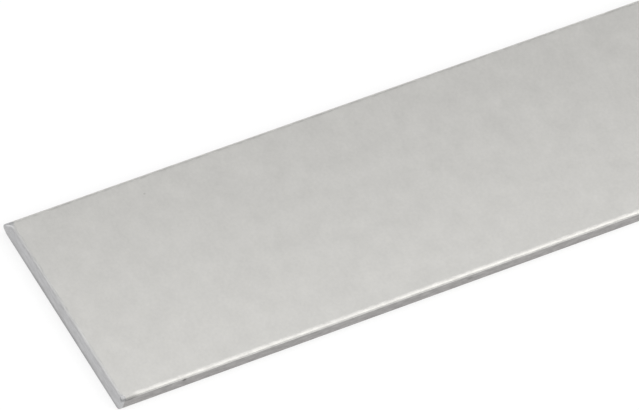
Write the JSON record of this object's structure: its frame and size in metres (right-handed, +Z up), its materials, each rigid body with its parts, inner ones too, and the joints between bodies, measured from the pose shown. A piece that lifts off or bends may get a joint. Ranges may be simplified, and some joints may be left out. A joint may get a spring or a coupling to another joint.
{
  "type": "metal flat bar",
  "caption": "Long thin flat bar of plain extruded aluminium: rectangular section, softly rounded long edges, square sawn ends with filed edges, matte silver finish.",
  "frame": {"origin": "middle of the underside, on the floor that the bar lies on", "axes": "X along the bar's length, Y across its width, Z up through its thickness"},
  "size_m": [1, 0.025, 0.002],
  "materials": {
    "anodised_aluminium": "natural silver anodised over an etched extrusion: matte, warm silver grey, with fine even grain and no brushing"
  },
  "bodies": {
    "root": {"flat_bar": "anodised_aluminium"}
  },
  "joints": []
}
